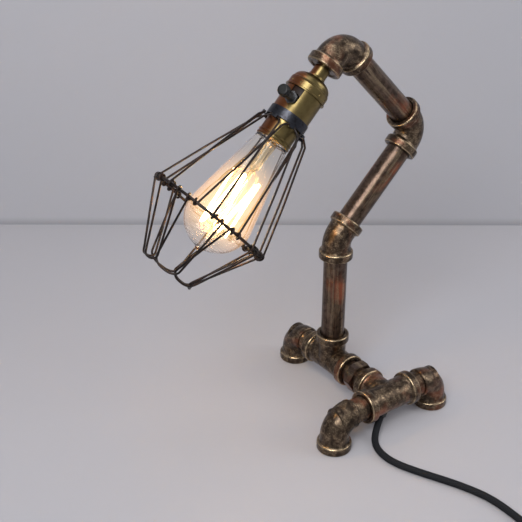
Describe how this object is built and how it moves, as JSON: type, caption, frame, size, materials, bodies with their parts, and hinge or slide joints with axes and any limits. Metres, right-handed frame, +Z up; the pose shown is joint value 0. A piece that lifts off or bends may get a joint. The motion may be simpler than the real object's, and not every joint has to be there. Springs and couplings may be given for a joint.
{
  "type": "industrial pipe table lamp",
  "caption": "Table lamp of screwed pipe fittings with a swivelling arm, a switched brass lamp holder, a bent-wire bulb cage and a long filament bulb on a black cord.",
  "frame": {"origin": "on the table, under the middle of the lamp without its cord, at the level that the feet rest on", "axes": "+Z up, +X from the feet under the head towards the outer elbow, +Y from the front tee towards the rear tee; the pipes above the base lie in one plane along X and Z"},
  "size_m": [0.2775, 0.4351, 0.3341],
  "materials": {
    "aged_fitting": "aged bronze over cast fittings, rubbed to gold on the bands",
    "aged_pipe": "aged bronze, brushed along the pipe",
    "antique_brass": "satin antique brass",
    "bright_brass": "plain pressed brass",
    "steel_fixings": "zinc plated steel",
    "collar_steel": "dark blued steel strip",
    "cage_wire": "oil-rubbed dark brown wire",
    "black_knob": "moulded black",
    "phenolic": "brown phenolic moulding",
    "fibre_liner": "pressed fibre",
    "black_rubber": "black rubber",
    "black_cord": "black braided flex",
    "plated_pins": "nickel plated",
    "bulb_glass": "clear amber glass",
    "stem_glass": "clear glass stem",
    "filament": "glowing filament strands"
  },
  "bodies": {
    "base": {"base_tee_rear": "aged_fitting", "base_tee_front": "aged_fitting", "hex_nipple": "aged_pipe", "foot_elbow_rear": "aged_fitting", "foot_elbow_left": "aged_fitting", "foot_elbow_right": "aged_fitting", "cord_grommet": "black_rubber", "flex_base": "black_rubber", "cord": "black_cord", "cord_coil": "black_cord", "cord_tail": "black_cord", "plug_body": "black_rubber", "plug_pins": "plated_pins"},
    "column": {"riser_pipe": "aged_pipe", "lower_elbow_45": "aged_fitting", "middle_pipe": "aged_pipe", "flex_column": "black_rubber"},
    "arm": {"middle_elbow": "aged_fitting", "upper_pipe": "aged_pipe", "flex_arm": "black_rubber"},
    "head": {"top_elbow": "aged_fitting", "top_bush": "aged_pipe", "lamp_nipple": "antique_brass", "nipple_nut": "steel_fixings", "flex_head": "black_rubber", "holder_cap": "antique_brass", "cap_grub_screw": "steel_fixings", "holder_shell": "antique_brass", "shell_liner": "fibre_liner", "switch_block": "phenolic", "terminal_screws": "bright_brass", "screw_shell": "bright_brass", "centre_contact": "bright_brass", "switch_bush": "steel_fixings", "switch_nut": "steel_fixings", "cage_collar": "collar_steel", "collar_screw": "steel_fixings", "collar_nut": "steel_fixings", "cage_upper_wires": "cage_wire", "cage_ring": "cage_wire", "cage_lower_wires": "cage_wire"},
    "switch": {"switch_stem": "steel_fixings", "switch_cam": "phenolic", "switch_knob": "black_knob"},
    "bulb": {"bulb_glass": "bulb_glass", "bulb_cap": "bright_brass", "bulb_contact": "phenolic", "bulb_stem": "stem_glass", "bulb_filament": "filament"}
  },
  "joints": [
    {"name": "column_swivel", "type": "hinge", "parent": "base", "child": "column", "pos_m": [0.048, 0.011, 0.028], "axis": [0, 0, 1], "range_deg": [-90, 90]},
    {"name": "middle_swivel", "type": "hinge", "parent": "column", "child": "arm", "pos_m": [0.048, 0.011, 0.1536], "axis": [0.7071, 0, 0.7071], "range_deg": [-60, 60]},
    {"name": "top_swivel", "type": "hinge", "parent": "arm", "child": "head", "pos_m": [0.13328, 0.011, 0.23888], "axis": [-0.7071, 0, 0.7071], "range_deg": [-90, 90]},
    {"name": "switch_turn", "type": "hinge", "parent": "head", "child": "switch", "pos_m": [0.00176, 0.00996, 0.28569], "axis": [-0.7144, -0.4294, 0.5526], "continuous": true},
    {"name": "bulb_unscrew", "type": "slide", "parent": "head", "child": "bulb", "axis": [-0.707, -0.0175, -0.707], "range_m": [0, 0.02]}
  ]
}
